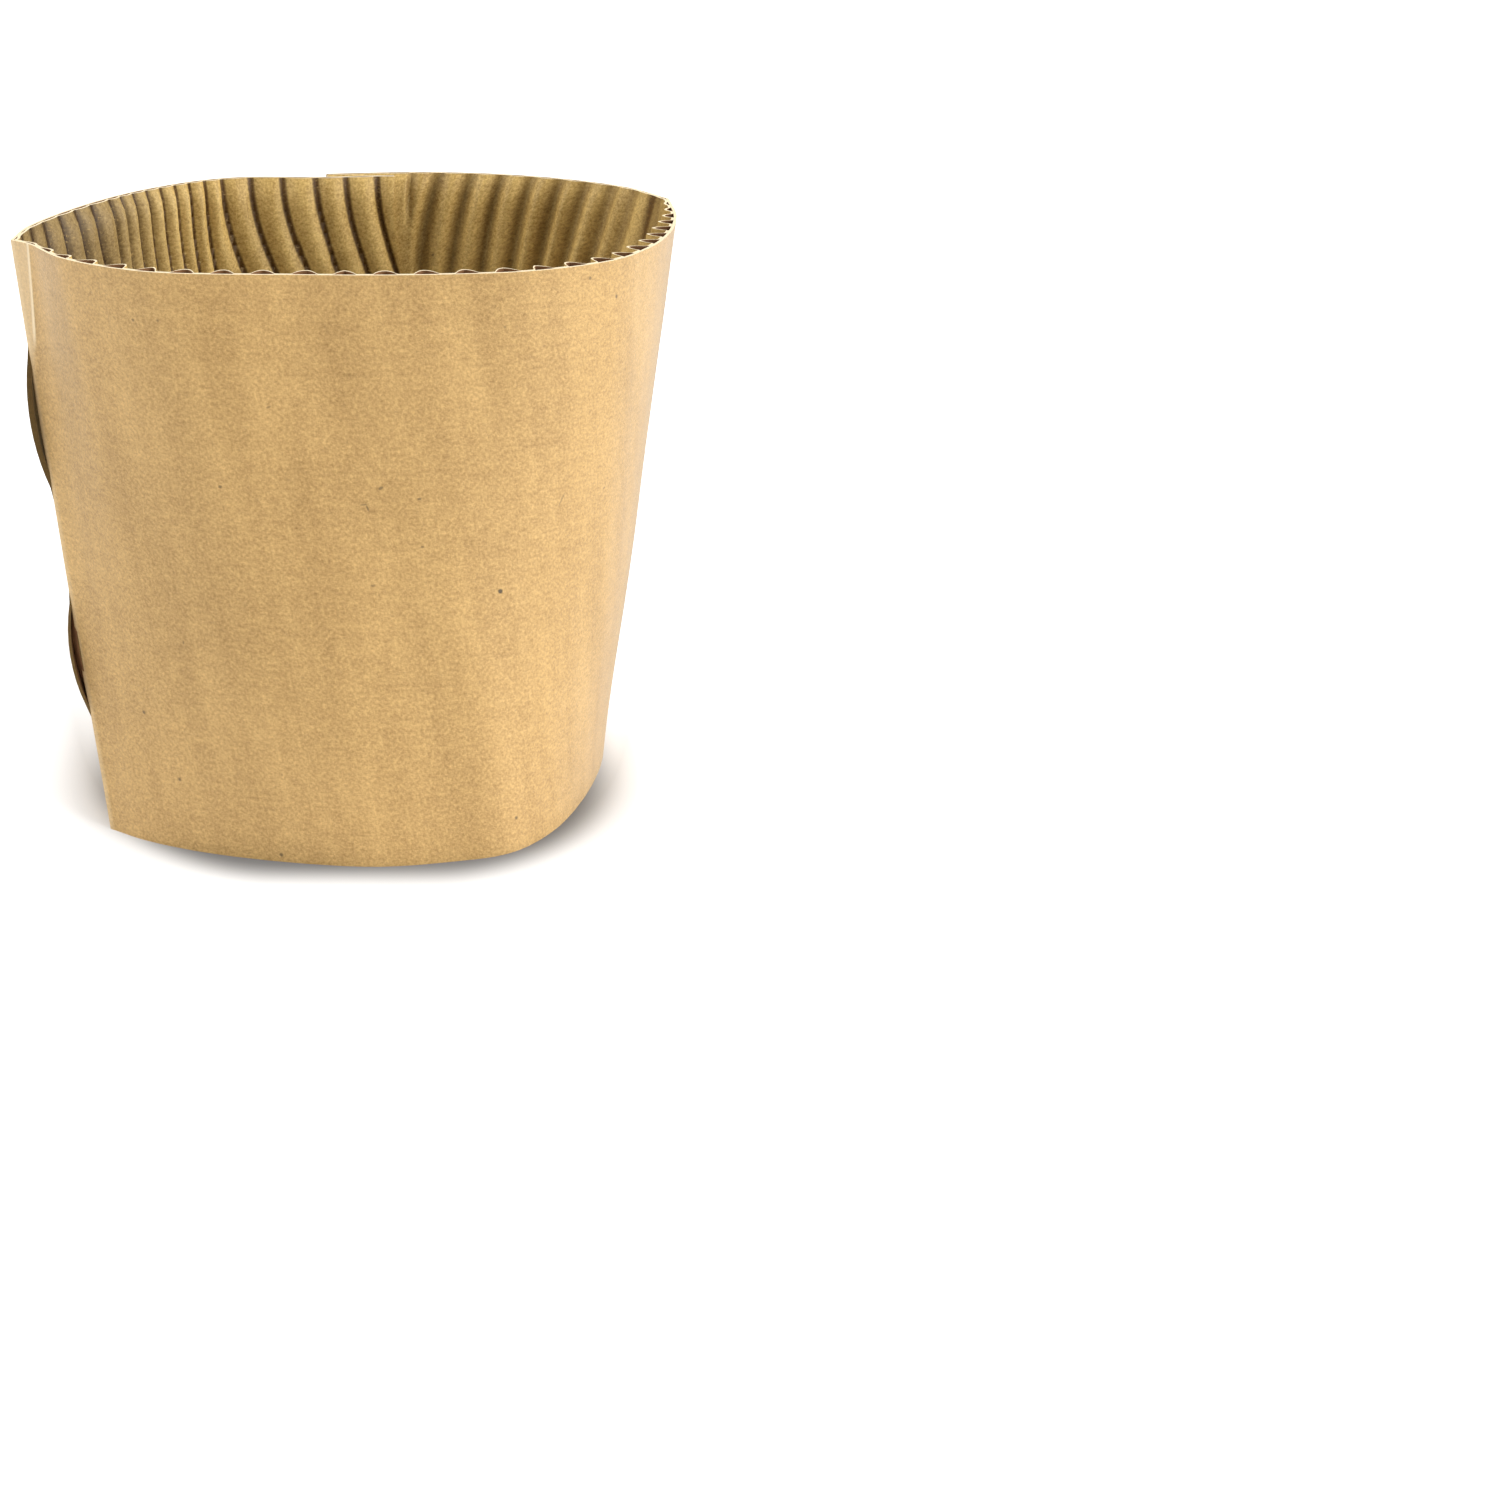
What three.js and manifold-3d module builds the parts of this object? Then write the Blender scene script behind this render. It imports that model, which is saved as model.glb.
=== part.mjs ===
// A cup sleeve of single-face corrugated kraft board: one blank, fluted on the inside,
// folded at two creases and glued to itself along one lapped seam, standing open.
// Millimetres, +Z up, front towards -Y, standing on its narrow rim at Z = 0.
import * as THREE from 'three';
import { mergeVertices } from 'three/addons/utils/BufferGeometryUtils.js';
import Module from 'manifold-3d';

// Overall sizes of the opened sleeve
const height = 57;
const topWidth = 66;
const topDepth = 57.6;
const bottomWidth = 54.6;
const bottomDepth = 58;

// Corrugated board
const boardThickness = 2.0;
const linerThickness = 0.4;
const mediumThickness = 0.35;
const flutePitch = 3.6;
const glueLineWidth = 0.8;
const shoulderWidth = 1.1;
const shoulderDrop = 0.3;

// Folds: the flutes are crushed over this reach on both sides of a crease
const creaseReach = 3.2;
const creasedThickness = 1.1;

// Glued seam on the back wall
const seamShare = 0.446;
const seamLap = 7.6;
const lapRamp = 11;
const glueFilm = 0.16;
const glueInset = 0.6;
const glueBite = 0.08;

// Die-cut crescents on the creases: share of the height at the middle, length and bulge
const crescents = [
  { middle: 0.7, length: 13.6 },
  { middle: 0.3, length: 11.4 },
];
const crescentBulge = 1.5;
const tabThickness = 0.9;
const tabRoot = 1.2;
const notchRoot = 0.2;

// Kraft paper finish
const kraft = { color: 0xc69c68, roughness: 0.88, metalness: 0 };

// Mesh density of the board
const heightBands = 3;
const spareFlutes = 1;
const slabStep = 1.8;
const trimMargin = 1;
const arcSegments = 6;
const tangentReach = 1.1;
const arcDivisions = 400;

// Rim outlines, as shares of half the width and half the depth, from the left crease
const topFront = [[-1, -0.43], [-0.94, -0.5], [-0.81, -0.75], [-0.56, -0.955], [-0.15, -1],
  [0.17, -1], [0.47, -0.94], [0.7, -0.775], [0.815, -0.585], [0.9, -0.36], [0.975, 0], [1, 0.38]];
const topBack = [[1, 0.38], [0.88, 0.66], [0.61, 0.9], [0.3, 1], [-0.1, 0.955],
  [-0.46, 0.84], [-0.67, 0.615], [-0.84, 0.285], [-0.98, -0.175], [-1, -0.43]];
const bottomFront = [[-0.89, -0.83], [-0.735, -0.925], [-0.44, -1.03], [0.05, -1.105],
  [0.34, -1.07], [0.55, -1.01], [0.71, -0.865], [0.86, -0.605], [0.975, -0.275],
  [1.01, 0.02], [1, 0.3], [0.915, 0.56]];
const bottomBack = [[0.915, 0.56], [0.62, 0.79], [0.22, 0.895], [-0.22, 0.86],
  [-0.62, 0.655], [-0.875, 0.31], [-0.96, -0.07], [-0.945, -0.45], [-0.89, -0.83]];

// Rim curves in plan, one smooth curve for each panel
function rimCurve(shares, width, depth, z) {
  const points = shares.map(([x, y]) => new THREE.Vector3((x * width) / 2, (y * depth) / 2, z));
  const curve = new THREE.CatmullRomCurve3(points, false, 'centripetal');
  curve.arcLengthDivisions = arcDivisions;
  return curve;
}

const topRim = [
  rimCurve(topFront, topWidth, topDepth, height),
  rimCurve(topBack, topWidth, topDepth, height),
];
const bottomRim = [
  rimCurve(bottomFront, bottomWidth, bottomDepth, 0),
  rimCurve(bottomBack, bottomWidth, bottomDepth, 0),
];

// The blank is a ring sector: its radii follow from the lengths of the two rims
const topPanel = (topRim[0].getLength() + topRim[1].getLength()) / 2;
const bottomPanel = (bottomRim[0].getLength() + bottomRim[1].getLength()) / 2;
const topRadius = (height * topPanel) / (topPanel - bottomPanel);
const bottomRadius = topRadius - height;
const panelAngle = topPanel / topRadius;

// Place along the blank counts panels: 0 to 1 is the front, 1 to 2 the back, and below 0
// the back again, where the other end of the blank comes round to the seam.
const outerEnd = 1 + seamShare;
const innerEnd = outerEnd - 2 - seamLap / topPanel;
const flutesAxis = (outerEnd + innerEnd) / 2;

function midPoint(place, rise) {
  const wrapped = place < 0 ? place + 2 : place;
  const panel = wrapped <= 1 ? 0 : 1;
  const share = THREE.MathUtils.clamp(wrapped - panel, 0, 1);
  const low = bottomRim[panel].getPointAt(share);
  return low.lerp(topRim[panel].getPointAt(share), rise);
}

function outwardNormal(place, rise) {
  const step = tangentReach / topPanel;
  const along = midPoint(place + step, rise).sub(midPoint(place - step, rise));
  const up = midPoint(place, 1).sub(midPoint(place, 0));
  return along.cross(up).setZ(0).normalize();
}

// Share of the full board thickness left near the creases at places 0 and 1
function crush(place) {
  const reach = Math.min(Math.abs(place), Math.abs(place - 1)) * topPanel;
  const kept = creasedThickness / boardThickness;
  return kept + (1 - kept) * THREE.MathUtils.smoothstep(reach, 0, creaseReach);
}

// How far the sheet sits inside the rim outline: one board deeper under the lap
function sheetInset(place) {
  const lapStart = outerEnd - 2;
  const ramp = lapRamp / topPanel;
  return (boardThickness + glueFilm) * (1 - THREE.MathUtils.smoothstep(place, lapStart, lapStart + ramp));
}

function boardPoint(place, rise, depth) {
  const inset = sheetInset(place) + depth * crush(place);
  return midPoint(place, rise).addScaledVector(outwardNormal(place, rise), -inset);
}

// A straight flute line of the flat blank, as a place on the opened sleeve
function placeOfFlute(offset, rise) {
  const radius = THREE.MathUtils.lerp(bottomRadius, topRadius, rise);
  return flutesAxis + Math.asin(offset / radius) / panelAngle;
}

// One flute in section, from its glue line over its crest: the offset across the flutes,
// the depth of the medium's outer face, and whether the flute is open up to the next corner
function fluteSection() {
  const root = linerThickness;
  const crest = boardThickness - mediumThickness;
  const glued = glueLineWidth / 2;
  const middle = flutePitch / 2;
  const shoulder = shoulderWidth / 2;
  return [
    { offset: -glued, depth: root, opens: false },
    { offset: glued, depth: root, opens: true },
    { offset: middle - shoulder, depth: crest - shoulderDrop, opens: true },
    { offset: middle, depth: crest, opens: true },
    { offset: middle + shoulder, depth: crest - shoulderDrop, opens: true },
  ];
}

// Columns of the board, each a flute line with four faces: liner out, liner in,
// medium out and medium in. The liner and the medium share a vertex where they are glued.
function boardColumns(first, last) {
  const columns = [];
  for (let flute = first; flute < last; flute += 1) {
    for (const corner of fluteSection()) {
      columns.push({ ...corner, offset: flute * flutePitch + corner.offset });
    }
  }
  columns.push({ ...fluteSection()[0], offset: last * flutePitch - glueLineWidth / 2 });
  return columns;
}

function boardGeometry(first, last) {
  const columns = boardColumns(first, last);
  const positions = [];
  const vertex = (column, row, layer) => (column * (heightBands + 1) + row) * 4 + layer;
  for (const { offset, depth } of columns) {
    for (let row = 0; row <= heightBands; row += 1) {
      const rise = row / heightBands;
      const place = placeOfFlute(offset, rise);
      for (const level of [0, linerThickness, depth, depth + mediumThickness]) {
        positions.push(...boardPoint(place, rise, level).toArray());
      }
    }
  }
  const index = [];
  const quad = ([a, b, c, d], out) => index.push(...(out ? [a, b, c, a, c, d] : [a, c, b, a, d, c]));
  const [linerOut, linerIn, mediumOut, mediumIn] = [0, 1, 2, 3];
  for (let column = 0; column + 1 < columns.length; column += 1) {
    const next = column + 1;
    for (let row = 0; row < heightBands; row += 1) {
      const face = (layer, out) => quad([vertex(column, row, layer), vertex(next, row, layer),
        vertex(next, row + 1, layer), vertex(column, row + 1, layer)], out);
      face(linerOut, true);
      face(mediumIn, false);
      if (columns[column].opens) {
        face(linerIn, false);
        face(mediumOut, true);
      }
    }
    for (const [outer, inner] of [[linerOut, linerIn], [mediumOut, mediumIn]]) {
      for (const [row, top] of [[0, false], [heightBands, true]]) {
        quad([vertex(column, row, outer), vertex(next, row, outer),
          vertex(next, row, inner), vertex(column, row, inner)], top);
      }
    }
  }
  for (const [column, start] of [[0, true], [columns.length - 1, false]]) {
    for (let row = 0; row < heightBands; row += 1) {
      for (const [outer, inner] of [[linerOut, linerIn], [mediumOut, mediumIn]]) {
        quad([vertex(column, row, outer), vertex(column, row + 1, outer),
          vertex(column, row + 1, inner), vertex(column, row, inner)], start);
      }
    }
  }
  return indexedGeometry(positions, index);
}

function indexedGeometry(positions, index) {
  const geometry = new THREE.BufferGeometry();
  geometry.setAttribute('position', new THREE.Float32BufferAttribute(positions, 3));
  geometry.setIndex(index);
  return geometry;
}

function bareGeometry(geometry) {
  const bare = geometry.clone();
  bare.deleteAttribute('normal');
  bare.deleteAttribute('uv');
  return mergeVertices(bare, 1e-5);
}

// A flat geometry bent with the wall: X is millimetres along it from a place, Y the height
// and Z the depth from the liner's outer face. Its faces are turned over, because depth
// runs inwards.
function bend(flat, place) {
  const geometry = bareGeometry(flat);
  const position = geometry.getAttribute('position');
  for (let i = 0; i < position.count; i += 1) {
    const there = place + position.getX(i) / topPanel;
    const rise = position.getY(i) / height;
    const inset = sheetInset(there) + position.getZ(i);
    const point = midPoint(there, rise).addScaledVector(outwardNormal(there, rise), -inset);
    position.setXYZ(i, point.x, point.y, point.z);
  }
  const index = geometry.getIndex();
  for (let i = 0; i < index.count; i += 3) {
    const first = index.getX(i);
    index.setX(i, index.getX(i + 1));
    index.setX(i + 1, first);
  }
  return geometry;
}

// A slab of board space: length along the wall from a place, over the whole height
function wallSlab(place, from, to, margin, outer, inner) {
  const steps = Math.ceil((to - from) / slabStep);
  const slab = new THREE.BoxGeometry(to - from, height + 2 * margin, inner - outer,
    steps, heightBands, 1);
  slab.translate((from + to) / 2, height / 2, (outer + inner) / 2);
  return bend(slab, place);
}

const wasm = await Module();
wasm.setup();

function solidOf(geometry) {
  const merged = bareGeometry(geometry);
  const vertProperties = new Float32Array(merged.getAttribute('position').array);
  const triVerts = new Uint32Array(merged.getIndex().array);
  return new wasm.Manifold(new wasm.Mesh({ numProp: 3, vertProperties, triVerts }));
}

function geometryOf(solid) {
  const { vertProperties, triVerts } = solid.getMesh();
  const geometry = indexedGeometry(Array.from(vertProperties), Array.from(triVerts));
  geometry.computeVertexNormals();
  return geometry;
}

// The two halves of the blank, each with its end cut square to the rims
function trimmedHalves() {
  const reach = (spareFlutes + 1) * flutePitch + height * Math.tan(panelAngle * 2);
  const first = Math.floor(((innerEnd - flutesAxis) * topPanel) / flutePitch) - spareFlutes;
  const last = Math.ceil(((outerEnd - flutesAxis) * topPanel) / flutePitch) + spareFlutes;
  const deep = boardThickness + trimMargin;
  const pastOuter = wallSlab(outerEnd, 0, reach, trimMargin, -trimMargin, deep);
  const pastInner = wallSlab(innerEnd, -reach, 0, trimMargin, -trimMargin, deep);
  return [
    solidOf(boardGeometry(first, 0)).subtract(solidOf(pastInner)),
    solidOf(boardGeometry(0, last)).subtract(solidOf(pastOuter)),
  ];
}

// The film of glue that holds the crests of the outer end to the liner of the inner end
function glueSolid() {
  return solidOf(wallSlab(outerEnd, glueInset - seamLap, -glueInset, -glueInset,
    boardThickness - glueBite, boardThickness + glueFilm + glueBite));
}

// Outline of a die-cut crescent: a straight root and an arc that bulges along +X
function crescentShape(length, root) {
  const radius = (length * length) / (8 * crescentBulge) + crescentBulge / 2;
  const sweep = Math.asin(length / (2 * radius));
  const shape = new THREE.Shape();
  shape.moveTo(-root, -length / 2);
  shape.lineTo(0, -length / 2);
  shape.absarc(crescentBulge - radius, 0, radius, -sweep, sweep, false);
  shape.lineTo(-root, length / 2);
  return shape;
}

// The notch that a crescent leaves in the back panel, cut through the bent wall
function notchSolid({ middle, length }, crease) {
  const notch = new THREE.ExtrudeGeometry(crescentShape(length, notchRoot), {
    depth: boardThickness + 2 * trimMargin, bevelEnabled: false, curveSegments: arcSegments,
  });
  notch.translate(0, middle * height, -trimMargin);
  if (crease === 0) notch.rotateY(Math.PI).translate(0, 0, boardThickness);
  return solidOf(bend(notch, crease));
}

// The crescent itself stays in the plane of the front panel and stands past the crease
function tabSolid({ middle, length }, crease) {
  const inFront = crease === 0 ? 1 : -1;
  const step = (inFront * tangentReach) / topPanel;
  const root = midPoint(crease, middle);
  const up = midPoint(crease, 1).sub(midPoint(crease, 0)).normalize();
  const along = root.clone().sub(midPoint(crease + step, middle)).normalize();
  const outward = along.clone().cross(up).multiplyScalar(-inFront).normalize();
  const across = up.clone().cross(outward).normalize();
  const tab = new THREE.ExtrudeGeometry(crescentShape(length, tabRoot), {
    depth: tabThickness, bevelEnabled: false, curveSegments: arcSegments,
  });
  tab.translate(0, 0, -tabThickness - glueBite);
  if (across.dot(along) < 0) tab.rotateZ(Math.PI);
  tab.applyMatrix4(new THREE.Matrix4().makeBasis(across, up, outward).setPosition(root));
  return solidOf(tab);
}

function foldedSleeve() {
  const [left, right] = trimmedHalves();
  let solid = left.add(right).add(glueSolid());
  for (const crease of [0, 1]) {
    for (const crescent of crescents) {
      solid = solid.subtract(notchSolid(crescent, crease)).add(tabSolid(crescent, crease));
    }
  }
  return largestPiece(solid);
}

// What the crescents' cuts leave loose falls away
function largestPiece(solid) {
  return solid.decompose().reduce((kept, piece) => (piece.volume() > kept.volume() ? piece : kept));
}

const sleeve = new THREE.Mesh(geometryOf(foldedSleeve()), new THREE.MeshStandardMaterial(kraft));
sleeve.name = 'sleeve';

// The origin is on the floor, at the middle of the sleeve's bounding box
const middle = new THREE.Box3().setFromObject(sleeve).getCenter(new THREE.Vector3());
sleeve.position.set(-middle.x, -middle.y, 0);

const group = new THREE.Group();
group.add(sleeve);

export default group;
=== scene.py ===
"""An opened cup sleeve of single-face corrugated kraft board, standing on its narrow rim.

Two thin papers make the board: a plain liner outside and a fluted paper glued inside it.
Lengths of the board are millimetres in its own plan, and become metres in the mesh.
"""
import math
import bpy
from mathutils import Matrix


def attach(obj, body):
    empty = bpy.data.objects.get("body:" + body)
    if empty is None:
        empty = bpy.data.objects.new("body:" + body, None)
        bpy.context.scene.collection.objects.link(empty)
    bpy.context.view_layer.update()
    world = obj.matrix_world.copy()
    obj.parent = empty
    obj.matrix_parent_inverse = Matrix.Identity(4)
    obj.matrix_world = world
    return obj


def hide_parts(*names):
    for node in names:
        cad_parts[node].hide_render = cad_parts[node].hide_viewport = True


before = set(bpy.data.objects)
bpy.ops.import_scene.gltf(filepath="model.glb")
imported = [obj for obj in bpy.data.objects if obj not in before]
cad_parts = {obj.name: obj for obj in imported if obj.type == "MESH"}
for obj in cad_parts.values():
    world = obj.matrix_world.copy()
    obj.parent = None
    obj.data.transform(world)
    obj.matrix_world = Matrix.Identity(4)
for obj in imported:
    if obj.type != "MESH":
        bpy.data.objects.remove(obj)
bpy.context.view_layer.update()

from types import SimpleNamespace

import bpy
import numpy as np
from bpy.props import FloatProperty, FloatVectorProperty, IntProperty, PointerProperty

bl_info = {
    "name": "Corrugated cup sleeve",
    "version": (1, 0, 0),
    "blender": (4, 5, 0),
    "location": "3D View > Sidebar > Sleeve",
    "description": "Builds an opened cup sleeve of fluted kraft board and its studio",
    "category": "Mesh",
}

NODE = "sleeve"
MM = 0.001

# Sizes of the opened sleeve and its board, in millimetres, as the solid has them
HEIGHT = 57.0
TOP_WIDTH, TOP_DEPTH = 66.0, 57.6
BOTTOM_WIDTH, BOTTOM_DEPTH = 54.6, 58.0
BOARD_THICKNESS = 2.0
FLUTE_PITCH = 3.6
CREASE_REACH = 3.2
CREASED_THICKNESS = 1.1
TANGENT_REACH = 1.1

# Seam on the back: the outer end's share of the way from the right crease, and the lap, the
# ramp down to it and its glue in millimetres
SEAM_SHARE = 0.446
SEAM_LAP = 7.6
LAP_RAMP = 11.0
GLUE_FILM = 0.16

# Die-cut crescents on the creases: middle as a share of the height, and length
CRESCENTS = ((0.7, 13.6), (0.3, 11.4))

# How the opened board is bent, in millimetres: the depths under the upper rim over which its
# wide crush fades, the reach over which the flutes' lean grows from the rim and the creases,
# and the distance from the left crease where the flutes' gathering starts, and its run
RIM_DEPTH = (5.0, 14.0)
LEAN_REACH = 25.0
GATHER_START = 24.0
GATHER_RUN = 18.5

# Places along the blank count its panels from the left crease, 0 to 1 across the front and 1
# to 2 across the back. Over these, one form of flute passes into the next
LEFT_TO_FRONT = (-0.12, 0.02)
FRONT_TO_RIGHT = (0.9, 1.15)

# Shares of the height over which the walls' swell grows and then eases, and how far it eases
SWELL_RISE = (0.0, 0.45)
SWELL_EASE = (0.8, 1.0)
SWELL_EASED = 0.15

# Flutes: largest loss of height, share of it kept in a groove, and the ramp up to the plain
# strip in millimetres
HEIGHT_LOSS = 0.06
GROOVE_FLOOR = 0.02
PLAIN_RAMP = 0.8

# Edges that turn by more than this are shaded sharp
SHARP_ANGLE = math.radians(38)

# Material slots of a paper; the last two hold painted shade, on the edges of the crescents'
# cuts and inside the flutes
KRAFT, CUT, SHADED_SLIT, SHADED_HOLLOW = range(4)

# Rim outlines in plan, as shares of half the width and half the depth
TOP_FRONT = ((-1, -0.43), (-0.94, -0.5), (-0.81, -0.75), (-0.56, -0.955), (-0.15, -1),
             (0.17, -1), (0.47, -0.94), (0.7, -0.775), (0.815, -0.585), (0.9, -0.36),
             (0.975, 0), (1, 0.38))
TOP_BACK = ((1, 0.38), (0.88, 0.66), (0.61, 0.9), (0.3, 1), (-0.1, 0.955), (-0.46, 0.84),
            (-0.67, 0.615), (-0.84, 0.285), (-0.98, -0.175), (-1, -0.43))
BOTTOM_FRONT = ((-0.89, -0.83), (-0.735, -0.925), (-0.44, -1.03), (0.05, -1.105),
                (0.34, -1.07), (0.55, -1.01), (0.71, -0.865), (0.86, -0.605),
                (0.975, -0.275), (1.01, 0.02), (1, 0.3), (0.915, 0.56))
BOTTOM_BACK = ((0.915, 0.56), (0.62, 0.79), (0.22, 0.895), (-0.22, 0.86), (-0.62, 0.655),
               (-0.875, 0.31), (-0.96, -0.07), (-0.945, -0.45), (-0.89, -0.83))

# Ridge of the left crease's score: its foot beside the upper crescent, in millimetres along
# the wall from the crease and up, and its lean
SCORE_FOOT = (1.2, 47.4)
SCORE_SLOPE = 0.16

# Flecks in the liner: place along the wall and up, half length and half width, turn, depth
FLECKS = (((48.5, 26.7), (0.27, 0.24), 0.0, 0.95), ((18.5, 52.4), (0.17, 0.15), 0.0, 0.6),
          ((21.1, 52.6), (0.15, 0.13), 0.0, 0.5), ((23.4, 37.4), (0.2, 0.15), 0.3, 0.6),
          ((61.4, 55.7), (0.17, 0.17), 0.0, 0.6), ((63.8, 34.3), (0.2, 0.1), 0.5, 0.5),
          ((38.5, 37.4), (0.28, 0.14), 0.5, 0.6), ((41.9, 36.3), (0.2, 0.12), 0.2, 0.6),
          ((41.4, 31.7), (0.17, 0.12), 0.0, 0.55), ((36.0, 28.1), (0.25, 0.12), 0.1, 0.45),
          ((57.1, 34.6), (0.85, 0.09), 0.9, 0.45), ((36.9, 35.5), (0.1, 0.3), 0.2, 0.6),
          ((36.6, 35.85), (0.35, 0.09), 0.1, 0.5), ((52.3, 52.0), (0.14, 0.12), 0.0, 0.4),
          ((29.6, 45.0), (0.25, 0.09), 0.4, 0.4), ((15.4, 21.5), (0.2, 0.1), 1.2, 0.45))

# Painted shade on the fluted paper left of the seam: its brightness by the crease, and the
# millimetres from the crease over which it comes up to full
DIM_SHARE = 0.48
DIM_REACH = (16.0, 46.0)

# Painted shade in the grooves: the shares of a crest's height over which it fades, where
# the flutes are narrow, broad on the left or soft on the right, how strong the last two
# are, and the millimetres along the wall over which they take over
GROOVE_NARROW = (0.01, 0.20)
GROOVE_BROAD, BROAD_TINT, BROAD_REACH = (0.03, 0.6), 0.7, (24.0, 42.0)
GROOVE_SOFT, SOFT_TINT, SOFT_REACH = (0.05, 0.8), 0.42, (60.0, 105.0)

# Shaded corner inside the right crease: its middle past the crease, its fade and its strength
CORNER_OFFSET = 1.4
CORNER_FADE = (0.8, 2.2)
CORNER_TINT = 0.6

# Roughness and specular level of the papers
KRAFT_ROUGHNESS, LINER_GLOSS, FLUTE_GLOSS = 0.55, 0.6, 0.3
CUT_ROUGHNESS, CUT_GLOSS = 0.8, 0.2

# Painted light on the strip beside the score's ridge: the heights over which it sets in, in
# millimetres
LIT_STRIP_RISE = (44.0, 48.0)

# Colours of the left fold, worn pale and with a painted highlight, and of the score's ridge,
# a painted highlight on worn paper
WORN_LIT_FOLD = (0.86, 0.68, 0.42)
WORN_LIT_RIDGE = (0.93, 0.77, 0.50)

# Floor: half its size in metres, the camera's glow, and the millimetres in depth over which
# the painted shadow at the foot passes into white behind
FLOOR_HALF = 3.0
FLOOR_GLOW = 0.6
FLOOR_SHADE_MM = (-20.0, 15.0)

# Painted shadow at the foot, in reaches from the middle (1 at the narrow rim): where it turns
# white, where the floor's painted darkening ends, its darkest value and its gain, and the
# side's shorter reach
SHADE_END = (1.07, 1.36)
CONTACT_END = (1.02, 1.2)
CONTACT_SHADOW_GREY, SHADOW_GREY_GAIN = 0.18, 0.45
SIDE_SPAN_MM, SIDE_GAIN = (8.0, 27.0), 0.13

# Lamps: direction that each comes from, and their width in degrees
KEY_SOURCE = (1.0, -0.3, 0.5)
FILL_SOURCE = (-1.0, -0.15, 0.6)
LAMP_WIDTH = 60.0

# Camera: fitted to the photograph, which is 1500 pixels wide
PHOTO_SIZE = 1500
FOCAL_PIXELS = 2085
CENTRE_PIXEL = (340, 520)
SENSOR_MM = 36.0
CAMERA_PITCH = math.radians(18.5)
CAMERA_DISTANCE_MM = 210.0
CAMERA_AIM_MM = (-1.44, -10.66, 28.5)


# Rims and wall

def smoothstep(value, low, high):
    """Zero up to low, one from high, and a smooth cubic rise between them."""
    share = np.clip((value - low) / (high - low), 0.0, 1.0)
    return share * share * (3.0 - 2.0 * share)


def rim_curve(shares, width, depth, samples=300):
    """A centripetal Catmull-Rom curve through the points: each stretch is a cubic whose end
    slopes follow from the square roots of its neighbours' spacings. Returns a fine
    polyline, the share of arc length at each of its points, and the whole length."""
    points = np.array(shares, float) * (width / 2, depth / 2)
    points = np.vstack((2 * points[0] - points[1], points, 2 * points[-1] - points[-2]))
    steps = np.linalg.norm(np.diff(points, axis=0), axis=1) ** 0.5
    t = np.linspace(0.0, 1.0, samples)[:, None]
    pieces = []
    for k in range(1, len(points) - 2):
        before, start, end, after = points[k - 1:k + 3]
        d0, d1, d2 = steps[k - 1:k + 2]
        out = ((start - before) / d0 - (end - before) / (d0 + d1) + (end - start) / d1) * d1
        into = ((end - start) / d1 - (after - start) / (d1 + d2) + (after - end) / d2) * d1
        square = -3 * start + 3 * end - 2 * out - into
        cube = 2 * start - 2 * end + out + into
        pieces.append(start + out * t + square * t ** 2 + cube * t ** 3)
    line = np.vstack(pieces)
    run = np.concatenate(([0.0], np.cumsum(np.linalg.norm(np.diff(line, axis=0), axis=1))))
    return line, run / run[-1], run[-1]


TOP_RIM = (rim_curve(TOP_FRONT, TOP_WIDTH, TOP_DEPTH),
           rim_curve(TOP_BACK, TOP_WIDTH, TOP_DEPTH))
BOTTOM_RIM = (rim_curve(BOTTOM_FRONT, BOTTOM_WIDTH, BOTTOM_DEPTH),
              rim_curve(BOTTOM_BACK, BOTTOM_WIDTH, BOTTOM_DEPTH))
TOP_PANEL = (TOP_RIM[0][2] + TOP_RIM[1][2]) / 2
BOTTOM_PANEL = (BOTTOM_RIM[0][2] + BOTTOM_RIM[1][2]) / 2
TOP_RADIUS = HEIGHT * TOP_PANEL / (TOP_PANEL - BOTTOM_PANEL)
BOTTOM_RADIUS = TOP_RADIUS - HEIGHT
PANEL_ANGLE = TOP_PANEL / TOP_RADIUS
OUTER_END = 1 + SEAM_SHARE
INNER_END = OUTER_END - 2 - SEAM_LAP / TOP_PANEL
FLUTES_AXIS = (OUTER_END + INNER_END) / 2

OUTLINE = np.vstack([curve[0] for curve in TOP_RIM + BOTTOM_RIM])
PLAN_MIDDLE = (OUTLINE.min(0) + OUTLINE.max(0)) / 2


def rim_point(rim, place):
    """Points in plan at places along a rim: each panel is looked up by arc length."""
    wrapped = np.where(place < 0, place + 2, place)
    on_back = wrapped > 1
    share = np.clip(wrapped - on_back, 0.0, 1.0)
    x = np.where(on_back, np.interp(share, rim[1][1], rim[1][0][:, 0]),
                 np.interp(share, rim[0][1], rim[0][0][:, 0]))
    y = np.where(on_back, np.interp(share, rim[1][1], rim[1][0][:, 1]),
                 np.interp(share, rim[0][1], rim[0][0][:, 1]))
    return np.stack((x, y), -1)


def wall_point(place, rise):
    """The liner's outer face in plan: a straight line between the rims at equal places."""
    low, high = rim_point(BOTTOM_RIM, place), rim_point(TOP_RIM, place)
    return low + (high - low) * rise[..., None]


def unit(vector):
    """The vector over its own length."""
    return vector / np.linalg.norm(vector, axis=-1, keepdims=True)


def outward(place, rise):
    """Outward direction in plan, square to the wall's run over a short reach."""
    step = TANGENT_REACH / TOP_PANEL
    along = unit(wall_point(place + step, rise) - wall_point(place - step, rise))
    return np.stack((along[..., 1], -along[..., 0]), -1)


def crease_distance(place):
    """Distance along the wall to the nearer crease, in millimetres."""
    return np.minimum(np.abs(place), np.abs(place - 1)) * TOP_PANEL


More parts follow.
